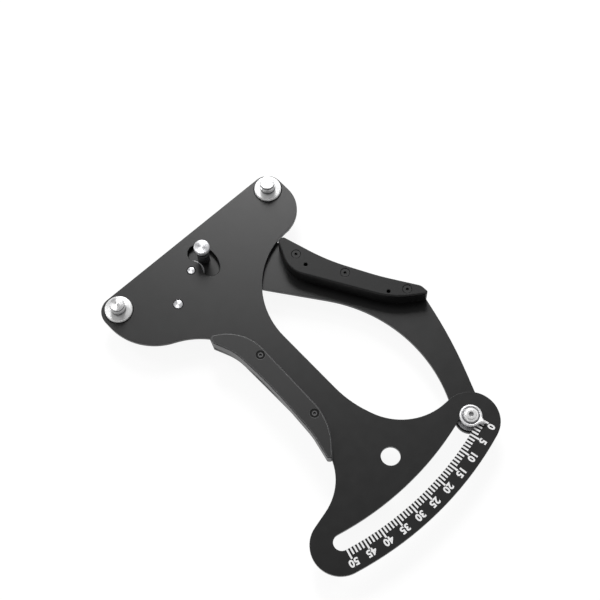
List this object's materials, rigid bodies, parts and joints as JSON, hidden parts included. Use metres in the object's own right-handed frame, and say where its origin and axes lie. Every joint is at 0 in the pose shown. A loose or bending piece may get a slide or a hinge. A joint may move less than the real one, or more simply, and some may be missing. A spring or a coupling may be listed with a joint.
{
  "type": "spoke tension meter",
  "caption": "Plate-type spoke tension meter: fixed turned posts, a sprung lever with a centre post, handle grips and a pointer that moves along an arc scale.",
  "frame": {"origin": "on the front face of the body plate, midway between the axes of the two fixed posts", "axes": "+X along the spoke towards the right fixed post, +Y away from the handles, +Z out of the front face"},
  "size_m": [0.1398, 0.2008, 0.0255],
  "materials": {
    "plate_black": "black anodised, satin",
    "grip_black": "moulded, matte",
    "post_steel": "turned and polished",
    "pin_steel": "turned, bright",
    "screw_steel": "zinc plated",
    "screw_black": "black oxide, satin",
    "spring_steel": "spring wire, oiled",
    "pointer_steel": "stamped and polished"
  },
  "bodies": {
    "body": {"body_plate": "plate_black", "body_grip": "grip_black", "body_grip_screws": "screw_black", "fixed_post_left": "post_steel", "fixed_post_right": "post_steel", "fixed_post_screws": "screw_steel", "pivot_pin": "pin_steel", "pivot_washer": "pin_steel", "spring_collar": "pin_steel", "end_washer": "pin_steel", "retaining_clip": "screw_black", "anchor_pin": "pin_steel", "return_spring": "spring_steel"},
    "lever": {"lever_plate": "plate_black", "lever_grip": "grip_black", "lever_grip_screws": "screw_black", "lever_grip_dowels": "screw_black", "centre_post": "post_steel", "centre_post_screw": "screw_steel", "lever_spring_pin": "pin_steel", "pointer_disc": "pointer_steel", "pointer_screw": "post_steel", "pointer_bush": "pin_steel", "pointer_washer": "pin_steel", "pointer_nut": "screw_steel"}
  },
  "joints": [
    {"name": "lever_pivot", "type": "hinge", "parent": "body", "child": "lever", "pos_m": [-0.01, -0.0087, -0.0038], "axis": [0, 0, -1], "range_deg": [0, 31], "stiffness_Nm_per_rad": 0.68, "springref_deg": -34.38, "deforming": ["return_spring"]}
  ]
}
